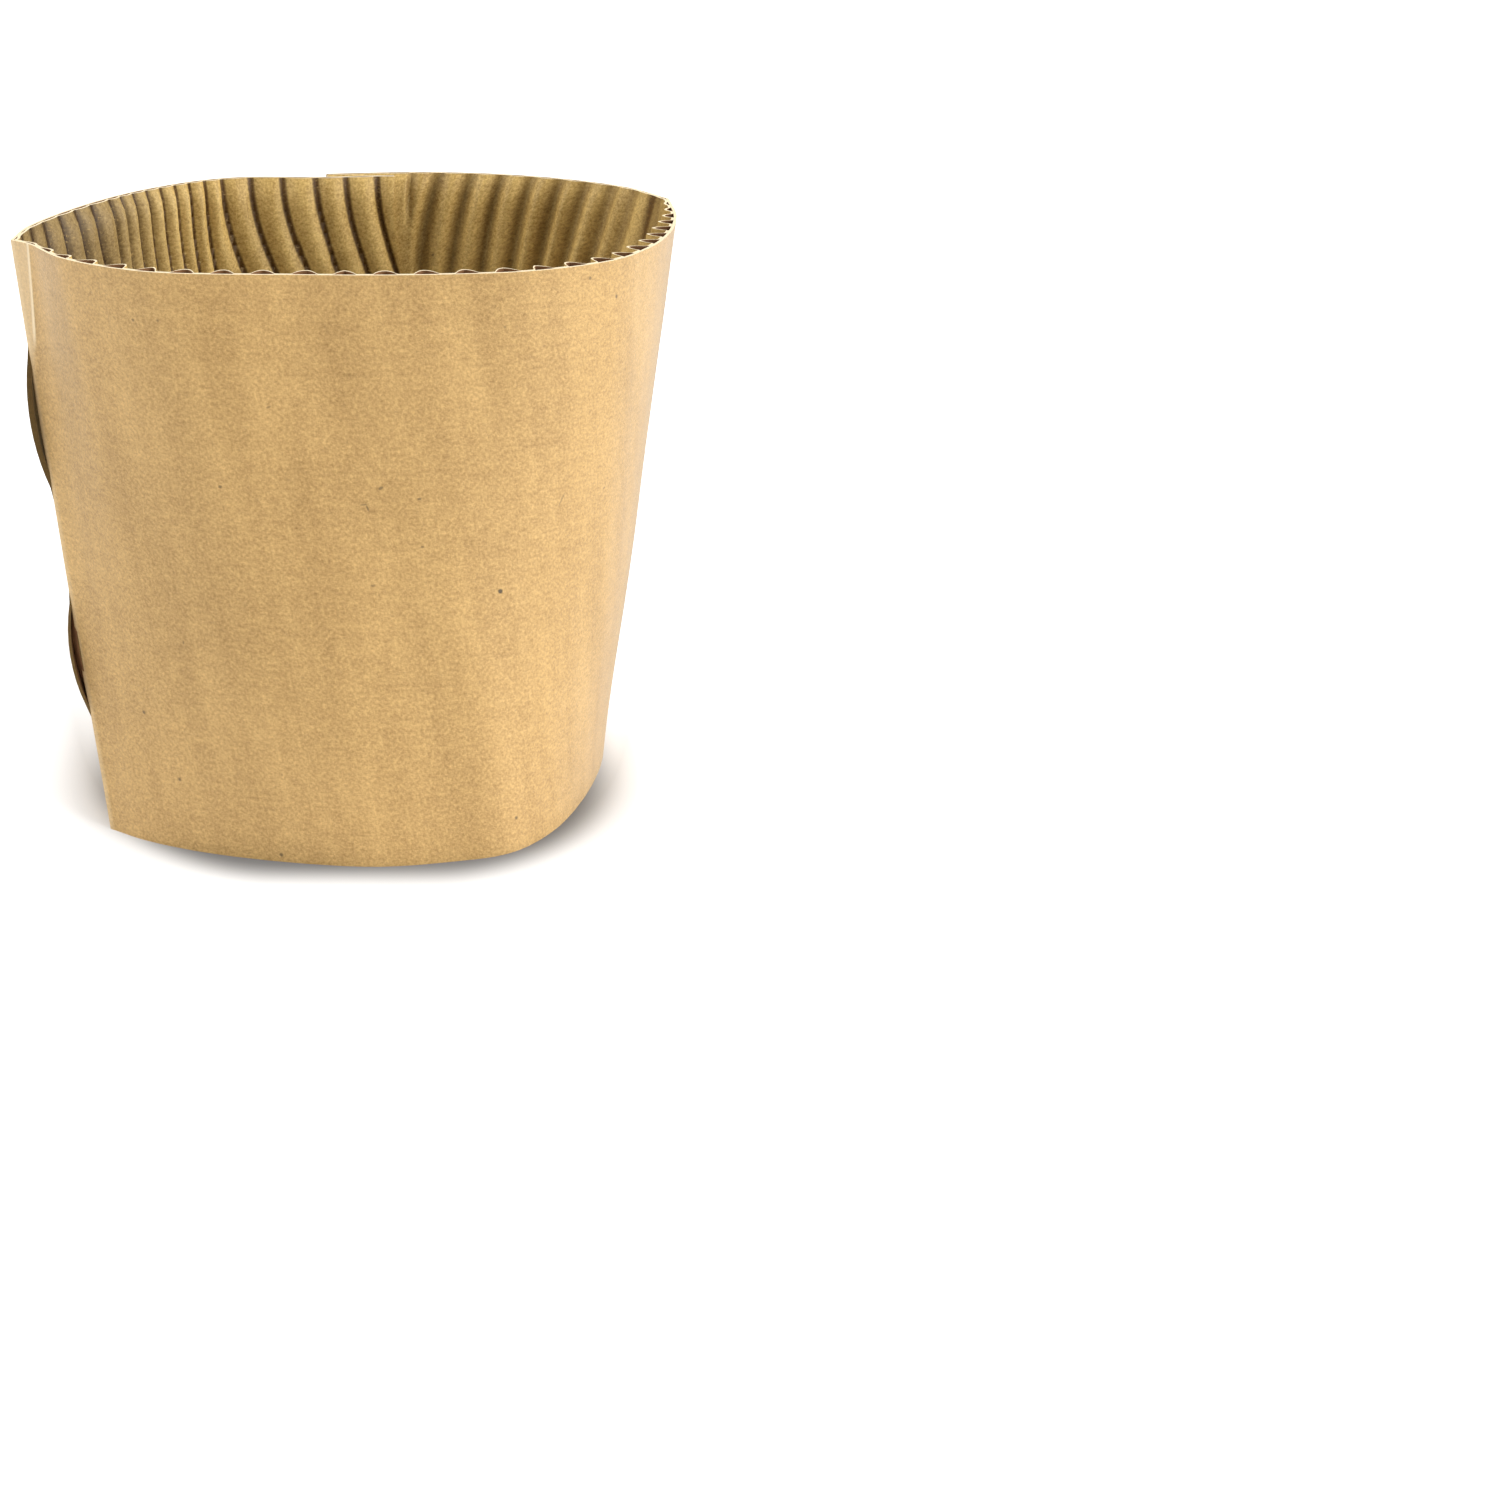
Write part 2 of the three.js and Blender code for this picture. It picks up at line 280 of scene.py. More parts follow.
def crush(place, rise, settings):
    """Share of the flutes' height that is left. Near the creases the board is bent, and the
    opened rim is bent over a wider reach than the wall below it. Just under the back's upper
    rim the fluted paper is pressed as well."""
    reach, below = crease_distance(place), (1 - rise) * HEIGHT
    folded = CREASED_THICKNESS / BOARD_THICKNESS
    wall = folded + (1 - folded) * smoothstep(reach, 0.0, CREASE_REACH)
    rim = settings.creased_share + (1 - settings.creased_share) * smoothstep(
        reach, 0.0, settings.crush_reach)
    kept = rim + (wall - rim) * smoothstep(below, *RIM_DEPTH)
    back = smoothstep(np.maximum(-place, place - 1) * TOP_PANEL, 0.0, CREASE_REACH)
    pressed = (1 - settings.rim_share) * back * (
        1 - smoothstep(below, 0.0, settings.rim_reach))
    return kept * (1 - pressed)


def belly(across, rise, settings):
    """Sideways swell of the opened walls: the product of a smooth step over the distance
    from the middle and one over the lower half of the height, eased at the upper rim."""
    level = smoothstep(rise, *SWELL_RISE) * (1 - SWELL_EASED * smoothstep(rise, *SWELL_EASE))
    right = settings.belly_right * smoothstep(across, 0.0, TOP_WIDTH / 2)
    left = settings.belly_left * smoothstep(-across, 0.0, TOP_WIDTH / 2)
    return (right - left) * level


def seam_lean(place, rise, settings):
    """How far the back's flutes lean along the wall below the upper rim: nothing at the rim
    and at the creases, and the full lean from LEAN_REACH downwards."""
    free = smoothstep(crease_distance(place), 0.0, LEAN_REACH)
    return settings.seam_lean * free * smoothstep((1 - rise) * HEIGHT, 0.0, LEAN_REACH)


def sheet_inset(place):
    """How far the sheet sits inside the outline: one board deeper under the lap."""
    start = OUTER_END - 2
    return (BOARD_THICKNESS + GLUE_FILM) * (
        1 - smoothstep(place, start, start + LAP_RAMP / TOP_PANEL))


def flute_phase(place, rise):
    """Flutes counted across the flat blank: they run straight and parallel on it, so the
    count is the sideways distance from the blank's middle line over the pitch."""
    radius = BOTTOM_RADIUS + (TOP_RADIUS - BOTTOM_RADIUS) * rise
    return radius * np.sin((place - FLUTES_AXIS) * PANEL_ANGLE) / FLUTE_PITCH


def crescent_bulge(rise):
    """Height of the die-cut crescents at each rise, from 0 at their tips to 1 in the middle:
    one minus the square of the distance from the middle."""
    bulge = np.zeros_like(rise)
    for middle, length in CRESCENTS:
        across = (rise - middle) * HEIGHT / (length / 2)
        bulge = np.maximum(bulge, 1 - across ** 2)
    return bulge


def panel_point(panel, place, rise, depth, settings):
    """A point of one panel at a depth below the liner's outer face. Beside a crescent the
    front panel slides past the crease along its own run, and the back panel's cut edge
    draws back and stands a little proud. Both fade out over a short reach."""
    bulge = crescent_bulge(rise)
    fade = settings.crescent_fade
    near_left = np.clip(1 - np.abs(place) * TOP_PANEL / fade, 0, 1) ** 2
    near_right = np.clip(1 - np.abs(place - 1) * TOP_PANEL / fade, 0, 1) ** 2
    if panel == "front":
        slid = place + settings.tab_reach * bulge * (near_right - near_left) / TOP_PANEL
        held = np.clip(slid, 0.0, 1.0)
        past = (slid - held) * TOP_PANEL
        step = np.where(place < 0.5, 1.0, -1.0) * TANGENT_REACH / TOP_PANEL
        run = unit(wall_point(held + step, rise) - wall_point(held, rise))
        run = run * np.sign(step)[..., None]
        base = wall_point(held, rise) + run * past[..., None]
        own = np.stack((run[..., 1], -run[..., 0]), -1)
        open_share = np.sqrt(bulge) * np.maximum(near_left, near_right)
        facing = unit(outward(held, rise) * (1 - open_share[..., None])
                      + own * open_share[..., None])
        lift = 0.0
    else:
        held = place + settings.notch_reach * bulge * (near_right - near_left) / TOP_PANEL
        base = wall_point(held, rise)
        facing = outward(held, rise)
        lift = settings.notch_lift * bulge * (near_left + near_right)
    inset = sheet_inset(held) + depth - lift
    plan = base - facing * inset[..., None] - PLAN_MIDDLE
    plan[..., 0] += belly(plan[..., 0], rise, settings)
    return np.concatenate((plan, (rise * HEIGHT)[..., None]), -1) * MM


# Paper sheets

def paper_columns(per_flute):
    """Places of the mesh's columns on the three panels of the blank."""
    def spread(start, end):
        count = int(round((end - start) * TOP_PANEL / FLUTE_PITCH * per_flute))
        return np.linspace(start, end, count + 1)
    return {"left": spread(INNER_END, 0.0), "front": spread(0.0, 1.0),
            "right": spread(1.0, OUTER_END)}


def sheet_grids(settings, depths, rise, per_flute):
    """The outer and the inner grid over each of the blank's three panels, by place across
    and rise up. Returns the vertex numbers of each panel, and for every vertex its point,
    its millimetres on the flat blank and along the wall, its count of flutes and its share
    of a crest's height. depths gives the two faces' depths under the outline."""
    grids, total = {}, 0
    values = {"point": [], "blank": [], "wall": [], "flute": [], "crest": []}
    for panel, places in paper_columns(per_flute).items():
        place, up = np.meshgrid(places, rise)
        if panel == "left":
            lapped = smoothstep(place, OUTER_END - 2, INNER_END)
            place = place - lapped * seam_lean(place, up, settings) / TOP_PANEL
        phase = flute_phase(place, up)
        outer_depth, inner_depth, crest, flute = depths(place, up, phase)
        flat = np.stack((phase * FLUTE_PITCH, up * HEIGHT, place * 0), -1).reshape(-1, 3)
        along = np.stack((place * TOP_PANEL, up * HEIGHT, place * 0), -1).reshape(-1, 3)
        for depth in (outer_depth, inner_depth):
            point = panel_point(panel, place, up, depth, settings).reshape(-1, 3)
            own = (point, flat, along, flute.ravel(), crest.ravel())
            for parts, part in zip(values.values(), own):
                parts.append(part)
        grids[panel] = np.arange(2 * place.size).reshape(2, *place.shape) + total
        total += 2 * place.size
    return grids, {title: np.concatenate(parts) for title, parts in values.items()}


def sheet_faces(grids, parted):
    """Quads of a sheet in four groups: the outer face, the inner face, the cut edges, and
    the crescents' slits. Each quad's corners run so that it faces outwards. parted tells at
    which rises a crescent parts the panels."""
    outer_face, inner_face, cuts, slits = [], [], [], []

    def strip(target, *corners):
        target.append(np.stack(corners, -1).reshape(-1, 4))

    for outer, inner in grids.values():
        strip(outer_face, outer[:-1, :-1], outer[:-1, 1:], outer[1:, 1:], outer[1:, :-1])
        strip(inner_face, inner[:-1, :-1], inner[1:, :-1], inner[1:, 1:], inner[:-1, 1:])
        strip(cuts, outer[0, 1:], outer[0, :-1], inner[0, :-1], inner[0, 1:])
        strip(cuts, outer[-1, :-1], outer[-1, 1:], inner[-1, 1:], inner[-1, :-1])
    beside = parted[:-1] | parted[1:]
    whole = np.ones_like(beside)
    ends = (("left", 0, whole, cuts), ("front", 0, beside, slits), ("right", 0, beside, slits),
            ("left", -1, beside, slits), ("front", -1, beside, slits),
            ("right", -1, whole, cuts))
    for panel, column, kept, target in ends:
        outer, inner = grids[panel][..., column]
        low = np.flatnonzero(kept)
        first, second = (low, low + 1) if column == 0 else (low + 1, low)
        strip(target, outer[first], outer[second], inner[second], inner[first])
    return outer_face, inner_face, cuts, slits


def paper_sheet(name, settings, depths, per_flute, sides):
    """A closed thin sheet: its outer and inner grids are joined along the rims, the ends and
    the crescents' cuts. The panels share their vertices along the creases, except where a
    crescent parts them. sides gives the slots of the outer and the inner face."""
    rise = np.linspace(0.0, 1.0, settings.rows + 1)
    parted = crescent_bulge(rise) > 0
    grids, values = sheet_grids(settings, depths, rise, per_flute)
    grids["front"][:, ~parted, 0] = grids["left"][:, ~parted, -1]
    grids["front"][:, ~parted, -1] = grids["right"][:, ~parted, 0]
    groups = sheet_faces(grids, parted)
    quads = np.vstack([part for group in groups for part in group])
    counts = [sum(len(part) for part in group) for group in groups]
    slots = np.repeat((*sides, CUT, SHADED_SLIT), counts)
    used, quads = np.unique(quads, return_inverse=True)
    quads = quads.reshape(-1, 4)
    mesh = bpy.data.meshes.new(name)
    mesh.from_pydata(values["point"][used].tolist(), [], quads.tolist())
    for title in ("blank", "wall"):
        layer = mesh.attributes.new(title, "FLOAT_VECTOR", "POINT")
        layer.data.foreach_set("vector", values[title][used].astype(np.float32).ravel())
    for title in ("flute", "crest"):
        layer = mesh.attributes.new(title, "FLOAT", "POINT")
        layer.data.foreach_set("value", values[title][used].astype(np.float32))
    mesh.polygons.foreach_set("material_index", slots.astype(np.int32))
    mesh.polygons.foreach_set("use_smooth", np.ones(len(quads), bool))
    mesh.update()
    mesh.set_sharp_from_angle(angle=SHARP_ANGLE)
    sheet = bpy.data.objects.new(name, mesh)
    bpy.context.scene.collection.objects.link(sheet)
    return sheet


def liner_depths(settings):
    """The liner's two faces. Its outer face dips at each glue line, by a raised cosine."""
    def depths(place, rise, phase):
        dip = settings.print_through * (0.5 + 0.5 * np.cos(2 * np.pi * phase))
        return dip, dip + settings.liner_paper, dip * 0, phase
    return depths


def flute_wander(flute, phase, rise):
    """Small shifts of the flutes along the wall, from -1 to 1: the sum of a sine of the
    flute's number, one of its number and the height, and one of the height and place."""
    return (0.35 * np.sin(flute * 2.4 + 1.0) + 0.3 * np.sin(flute * 5.1 + rise * 3.0)
            + 0.35 * np.sin(rise * 9.0 + phase * 0.7 + 0.5))


def flute_crest(place, moved, settings):
    """Share of a crest's height at a moved count of flutes. On the back it is a raised
    cosine to a power, which differs left and right of the seam. On the front it is a
    cosine arch to a power, narrower than the pitch."""
    wave = 0.5 - 0.5 * np.cos(2 * np.pi * moved)
    across = moved - np.floor(moved) - 0.5
    arch = np.maximum(np.cos(np.pi * across / settings.arch_width), 0) * (
        np.abs(across) < settings.arch_width / 2)
    left = 1 - smoothstep(place, *LEFT_TO_FRONT)
    right = smoothstep(place, *FRONT_TO_RIGHT)
    raised = GROOVE_FLOOR + (1 - GROOVE_FLOOR) * wave
    return (left * raised ** settings.crest_power_left
            + right * wave ** settings.crest_power_right
            + (1 - left - right) * arch ** settings.arch_power * settings.arch_rise)


def fluting_depths(settings):
    """The fluted paper's two faces: the liner's thickness plus the crests' height. The
    flutes wander a little, lean beside the seam and are gathered at the back left. The
    paper has no flutes on the strip beside the lap's end."""
    def depths(place, rise, phase):
        flute = np.floor(phase + 0.5)
        below = smoothstep((1 - rise) * HEIGHT, 0, LEAN_REACH)
        slant = settings.flute_slant * smoothstep(place, *FRONT_TO_RIGHT) * below
        lean = seam_lean(place, rise, settings)
        narrowed = np.clip((-place * TOP_PANEL - GATHER_START) / GATHER_RUN, 0, 1)
        moved = (phase + settings.unevenness * flute_wander(flute, phase, rise)
                 + (lean - slant) / FLUTE_PITCH - settings.gathered * narrowed)
        crest = flute_crest(place, moved, settings)
        covered = INNER_END + 2 - (settings.plain_strip + lean) / TOP_PANEL
        plain = smoothstep(place, covered - PLAIN_RAMP / TOP_PANEL, covered)
        crest = crest + (1 - crest) * plain
        top = BOARD_THICKNESS - settings.liner_paper - settings.flute_paper
        height = top * (1 - HEIGHT_LOSS * (1 + np.sin(flute * 3.7 + rise * 2.0)) / 2)
        outer = settings.liner_paper + height * crest * crush(place, rise, settings)
        return outer, outer + settings.flute_paper, crest, moved
    return depths


# Materials

class Value:
    """A shader socket that takes part in Python arithmetic by adding Math nodes."""

    def __init__(self, graph, socket):
        self.graph, self.socket = graph, socket

    def output(self, key):
        """Another output of the node that this socket belongs to."""
        return Value(self.graph, self.socket.node.outputs[key])

    def math(self, operation, *others):
        inputs = dict(enumerate((self, *others)))
        return self.graph.node("ShaderNodeMath", {"operation": operation}, inputs)

    def reflected(self, operation, other):
        return self.graph.node("ShaderNodeMath", {"operation": operation},
                               {0: other, 1: self})

    def __add__(self, other):
        return self.math("ADD", other)

    def __sub__(self, other):
        return self.math("SUBTRACT", other)

    def __mul__(self, other):
        return self.math("MULTIPLY", other)

    def __truediv__(self, other):
        return self.math("DIVIDE", other)

    def __pow__(self, other):
        return self.math("POWER", other)

    def __rsub__(self, other):
        return self.reflected("SUBTRACT", other)

    def __rtruediv__(self, other):
        return self.reflected("DIVIDE", other)

    __radd__ = __add__
    __rmul__ = __mul__


class Graph:
    """The node tree of one material."""

    def __init__(self, name):
        self.material = bpy.data.materials.new(name)
        self.material.use_nodes = True
        self.tree = self.material.node_tree
        self.tree.nodes.clear()

    def node(self, kind, settings=None, inputs=None, output=0):
        """Adds a node of a type: settings first, then values or links of its sockets.
        Returns the chosen output, or nothing for the material's own output node."""
        made = self.tree.nodes.new(kind)
        for key, value in (settings or {}).items():
            setattr(made, key, value)
        for key, value in (inputs or {}).items():
            if isinstance(value, Value):
                self.tree.links.new(value.socket, made.inputs[key])
            else:
                made.inputs[key].default_value = value
        return Value(self, made.outputs[output]) if len(made.outputs) else None

    def attribute(self, name, output):
        return self.node("ShaderNodeAttribute", {"attribute_name": name}, output=output)

    def scaled(self, vector, scale):
        return self.node("ShaderNodeMapping", {}, {"Vector": vector, "Scale": scale})

    def noise(self, vector, scale, detail=2.0, roughness=0.5, distortion=0.0):
        return self.node("ShaderNodeTexNoise", {"noise_dimensions": "3D"},
                         {"Vector": vector, "Scale": scale, "Detail": detail,
                          "Roughness": roughness, "Distortion": distortion})

    def band(self, value, low, high):
        """Zero at low, one at high, smooth between."""
        return self.node("ShaderNodeMapRange", {"interpolation_type": "SMOOTHSTEP"},
                         {"Value": value, "From Min": low, "From Max": high})

    def mix(self, share, first, second, blend="MIX"):
        return self.node("ShaderNodeMix", {"data_type": "RGBA", "blend_type": blend},
                         {0: share, 6: first, 7: second}, output=2)

    def rgb(self, red, green, blue):
        """A colour from three values."""
        return self.node("ShaderNodeCombineColor", {},
                         {"Red": red, "Green": green, "Blue": blue})

    def finish(self, colour, normal, roughness, specular, sheen):
        made = self.node("ShaderNodeBsdfPrincipled", {}, {
            "Base Color": colour, "Roughness": roughness, "Normal": normal,
            "Specular IOR Level": specular, "Sheen Weight": sheen, "Sheen Roughness": 0.4})
        self.node("ShaderNodeOutputMaterial", {}, {"Surface": made})
        return self.material


def colour(value, factor=1.0):
    """A colour times a factor, with full alpha."""
    return tuple(c * factor for c in value) + (1.0,)


def fibres(graph, blank, scale, offset, width, distortion):
    """Short curled fibres: thin lines where a distorted noise passes its middle value,
    broken up by a finer noise."""
    moved = graph.node("ShaderNodeMapping", {}, {"Vector": blank, "Location": offset})
    line = graph.noise(moved, scale, 1.0, 0.5, distortion)
    broken = graph.band(graph.noise(moved, scale * 1.9, 2.0), 0.5, 0.62)
    near = (line - 0.5).math("ABSOLUTE")
    return (1.0 - graph.band(near, 0.0, width)) * broken


def painted_groove_shade(graph, across):
    """Painted shade in a fluted paper's grooves, from its count of flutes: sharp and narrow
    in the middle, broader towards the left crease, and soft and broad right of the seam."""
    wave = 0.5 - (graph.attribute("flute", 2) * (2 * math.pi)).math("COSINE") * 0.5
    right = graph.band(across, *SOFT_REACH)
    left = 1.0 - graph.band(0.0 - across, *BROAD_REACH)
    broad = (1.0 - graph.band(wave, *GROOVE_BROAD)) * left * BROAD_TINT
    narrow = (1.0 - graph.band(wave, *GROOVE_NARROW)).math("MAXIMUM", broad)
    soft = (1.0 - graph.band(wave, *GROOVE_SOFT)) * right * SOFT_TINT
    low = graph.band(1.0 - graph.attribute("crest", 2), 0.02, 0.15)
    return (narrow * (1.0 - right) + soft) * low


def fluted_tone(graph, across, tone, groove_shade):
    """Colour of the fluted paper before its grain, with painted shade: darker in the grooves
    and in the right corner, and dimmer and bluer towards the left crease."""
    corner = (across - TOP_PANEL - CORNER_OFFSET).math("ABSOLUTE")
    # Painted shade in the grooves and in the corner inside the right crease
    deep = painted_groove_shade(graph, across) + (1.0 - graph.band(corner, *CORNER_FADE)) * CORNER_TINT
    sheet = graph.mix(deep.math("MINIMUM", 1.0), colour(tone), colour(groove_shade))
    # Painted shade: dimmer and cooler beside the left crease
    dim = DIM_SHARE + graph.band(0.0 - across, *DIM_REACH) * (1.0 - DIM_SHARE)
    dim = dim + graph.band(across, -1.0, 1.0) * (1.0 - DIM_SHARE)
    return graph.mix(1.0, sheet, graph.rgb(dim, dim, dim * 0.80 + 0.12), "MULTIPLY")


def specks(graph, blank, sheet, tone):
    """Small dark specks: round dots in a few of the cells of a Voronoi pattern."""
    spot = graph.node("ShaderNodeTexVoronoi", {"feature": "F1"},
                      {"Vector": blank, "Scale": 0.33, "Randomness": 1.0})
    pick = graph.node("ShaderNodeSeparateColor", {}, {"Color": spot.output("Color")})
    dots = (1.0 - graph.band(spot, 0.03, 0.09)) * graph.band(pick, 0.90, 0.92)
    return graph.mix(dots * 0.8, sheet, colour(tone, 0.2))


def flecks(graph, across, up, sheet, tone):
    """The liner's larger flecks: soft turned ellipses."""
    for (place, height), (half_length, half_width), turn, depth in FLECKS:
        along = (across - place) * math.cos(turn) + (up - height) * math.sin(turn)
        aside = (up - height) * math.cos(turn) - (across - place) * math.sin(turn)
        near = ((along / half_length) ** 2.0 + (aside / half_width) ** 2.0) ** 0.5
        sheet = graph.mix((1.0 - graph.band(near, 0.6, 1.25)) * depth, sheet,
                          colour(tone, 0.13))
    return sheet


def worn_and_lit_crease(graph, across, up, sheet):
    """The left fold, rubbed paler and with a painted highlight, the pale ridge of its score
    above the upper crescent, a painted highlight on worn paper, and the strip between the
    two, painted lighter as lit. Returns the sheet's colour and the ridge."""
    ridge = across - (up - SCORE_FOOT[1]) * SCORE_SLOPE - SCORE_FOOT[0]
    line = 1.0 - graph.band(ridge.math("ABSOLUTE"), 0.05, 0.32)
    line = line * graph.band(up, SCORE_FOOT[1] - 1.0, SCORE_FOOT[1] + 1.5)
    strip = graph.band(up, *LIT_STRIP_RISE) * (1.0 - graph.band(ridge, -0.3, 0.1))
    strip = strip * graph.band(across, -1.0, 0.2)
    fold = 1.0 - graph.band(across.math("ABSOLUTE"), 0.15, 0.8)
    # Worn paler with a painted highlight along the fold, a painted highlight on the ridge,
    # painted light on the strip
    sheet = graph.mix(fold * 0.3, sheet, colour(WORN_LIT_FOLD))
    sheet = graph.mix(line * 0.75, sheet, colour(WORN_LIT_RIDGE))
    return graph.mix(strip * 0.35, sheet, colour(WORN_LIT_FOLD)), line


def kraft_paper(name, tone, groove_shade, contrast, sheen):
    """Brown kraft paper: slow clouds, streaks along and across the flutes, a fine felted
    grain, curled fibres that are lighter and darker than the sheet, and dark specks. A
    fluted paper has painted shade in its grooves, and a plain liner has flecks instead.
    Both have the worn left crease with its painted highlight."""
    graph = Graph(name)
    blank = graph.attribute("blank", 1)
    across = graph.node("ShaderNodeSeparateXYZ", {}, {"Vector": graph.attribute("wall", 1)})
    up = across.output(1)
    cloud = graph.noise(blank, 0.06, 3.0)
    streak = graph.noise(graph.scaled(blank, (0.10, 1.3, 1.0)), 1.0, 3.0)
    ghost = graph.noise(graph.scaled(blank, (0.28, 0.03, 1.0)), 1.0, 2.0)
    grain = graph.noise(blank, 3.2, 4.0, 0.8)
    felt = graph.noise(blank, 0.8, 4.0, 0.65)
    pale = fibres(graph, blank, 1.5, (31.0, 7.0, 0.0), 0.03, 1.0)
    dark = fibres(graph, blank, 1.3, (5.0, 43.0, 9.0), 0.028, 1.4)
    drift = (cloud - 0.5) * 0.40 + (grain - 0.5) * 1.5 + (felt - 0.5) * 0.5
    drift = (drift + (streak - 0.5) * 0.15 + (ghost - 0.5) * 0.45) * contrast
    light = graph.rgb(1.0 + drift, 1.0 + drift * 1.15, 1.0 + drift * 1.5)
    # The fluted paper's colour carries painted shade in its grooves, its corner and by the left
    # crease
    sheet = fluted_tone(graph, across, tone, groove_shade) if groove_shade else colour(tone)
    sheet = graph.mix(1.0, sheet, light, "MULTIPLY")
    sheet = graph.mix(pale * 0.32, sheet, colour(tone, 1.5))
    sheet = graph.mix(dark * 0.42, sheet, colour(tone, 0.55))
    sheet = specks(graph, blank, sheet, tone)
    if not groove_shade:
        sheet = flecks(graph, across, up, sheet, tone)
    sheet, line = worn_and_lit_crease(graph, across, up, sheet)
    height = grain * 0.5 + felt * 0.6 + pale * 0.25 - dark * 0.15 + line * 1.5
    normal = graph.node("ShaderNodeBump", {}, {"Strength": 0.5, "Distance": 0.00008,
                                               "Height": height})
    return graph.finish(sheet, normal, KRAFT_ROUGHNESS, LINER_GLOSS if sheen else FLUTE_GLOSS,
                        sheen)


def cut_paper(name, tone):
    """The papers' cut edges: paler than their faces, with a ragged fibrous grain."""
    # With dark tones this paper also paints shade on the slits' edges and inside the flutes
    graph = Graph(name)
    blank = graph.attribute("blank", 1)
    rough = graph.noise(blank, 3.0, 4.0, 0.7)
    sheet = graph.mix(graph.band(rough, 0.3, 0.7), colour(tone, 0.86), colour(tone, 1.06))
    normal = graph.node("ShaderNodeBump", {}, {"Strength": 0.4, "Distance": 0.00005,
                                               "Height": rough})
    return graph.finish(sheet, normal, CUT_ROUGHNESS, CUT_GLOSS, 0.0)


def dress(sheet, finish, kraft):
    """A paper's four slots: its kraft faces, its cut edges, the edges of the crescents' slits
    darkened as painted shade, and its faces inside the flutes, darkened as painted shade."""
    sheet.data.materials.append(kraft)
    sheet.data.materials.append(cut_paper(kraft.name + "_cut", finish.cut))
    # Painted shade: dark tones on the edges of the crescents' cuts and inside the flutes
    sheet.data.materials.append(cut_paper(kraft.name + "_slit", finish.slit_shade))
    sheet.data.materials.append(cut_paper(kraft.name + "_hollow", finish.hollow_shade))


# Settings

def in_millimetres(group):
    """A group's settings as plain numbers: its lengths in millimetres, the rest as set."""
    values = {}
    for item in group.bl_rna.properties:
        if item.type in {"FLOAT", "INT"}:
            value = getattr(group, item.identifier)
            values[item.identifier] = value / MM if item.unit == "LENGTH" else value
    return SimpleNamespace(**values)


class BoardSettings(bpy.types.PropertyGroup):
    """Sizes of the two papers, and how the opened board bends."""
    liner_paper: FloatProperty(
        name="Liner paper", description="Thickness of the outer liner",
        default=0.3 * MM, unit="LENGTH")
    flute_paper: FloatProperty(
        name="Fluted paper", description="Thickness of the fluted paper",
        default=0.26 * MM, unit="LENGTH")
    print_through: FloatProperty(
        name="Print-through", description="Dip of the liner at a glue line",
        default=0.012 * MM, unit="LENGTH")
    crush_reach: FloatProperty(
        name="Crush reach", description="Reach of the bent board by a crease",
        default=20.0 * MM, unit="LENGTH")
    creased_share: FloatProperty(
        name="Creased share", description="Flute height left at a crease by the rim",
        default=0.11, subtype="FACTOR", min=0.0, max=1.0)
    rim_reach: FloatProperty(
        name="Rim reach", description="Reach of the pressed flutes below the rim",
        default=1.8 * MM, unit="LENGTH")
    rim_share: FloatProperty(
        name="Rim share", description="Flute height left at the back's upper rim",
        default=0.3, subtype="FACTOR", min=0.0, max=1.0)
    seam_lean: FloatProperty(
        name="Seam lean", description="Lean of the flutes left of the seam",
        default=7.2 * MM, unit="LENGTH")
    belly_right: FloatProperty(
        name="Belly right", description="Swell of the right wall",
        default=0.86 * MM, unit="LENGTH")
    belly_left: FloatProperty(
        name="Belly left", description="Swell of the left wall",
        default=0.22 * MM, unit="LENGTH")
    unevenness: FloatProperty(
        name="Unevenness", description="Wander of the flutes, as a share of the pitch",
        default=0.05, subtype="FACTOR", min=0.0, max=1.0)
    crest_power_left: FloatProperty(
        name="Crest power left",
        description="Left of the seam: below 1 the crests are broader than the grooves",
        default=0.3)
    crest_power_right: FloatProperty(
        name="Crest power right", description="The same right of the seam", default=0.85)
    arch_width: FloatProperty(
        name="Arch width", description="Width of the front's arches, as a share of the pitch",
        default=0.58)
    arch_power: FloatProperty(
        name="Arch power", description="Below 1 the front's arches are fuller",
        default=0.75)
    arch_rise: FloatProperty(
        name="Arch rise", description="Height of the front's arches, as a share of the flutes'",
        default=1.12)
    gathered: FloatProperty(
        name="Gathered", description="Flutes that are gathered at the back left",
        default=3.0)
    flute_slant: FloatProperty(
        name="Flute slant", description="Lean of the flutes right of the seam",
        default=3.6 * MM, unit="LENGTH")
    plain_strip: FloatProperty(
        name="Plain strip", description="Unfluted strip beside the lap's end",
        default=1.6 * MM, unit="LENGTH")
    tab_reach: FloatProperty(
        name="Tab reach", description="How far a crescent stands past its crease",
        default=0.12 * MM, unit="LENGTH")
    notch_reach: FloatProperty(
        name="Notch reach",
        description="How far the back panel's cut draws back, below 0 past the crease",
        default=-0.2 * MM, unit="LENGTH")
    notch_lift: FloatProperty(
        name="Notch lift", description="How far the cut edge stands proud",
        default=1.2 * MM, unit="LENGTH")
    crescent_fade: FloatProperty(
        name="Crescent fade", description="Reach over which the cut's shape fades",
        default=7.0 * MM, unit="LENGTH")
    rows: IntProperty(
        name="Rows", description="Mesh rows over the height", default=46)
    liner_columns: IntProperty(
        name="Liner columns", description="The liner's mesh columns for each flute",
        default=8)
    flute_columns: IntProperty(
        name="Flute columns", description="The fluted paper's mesh columns for each flute",
        default=17)


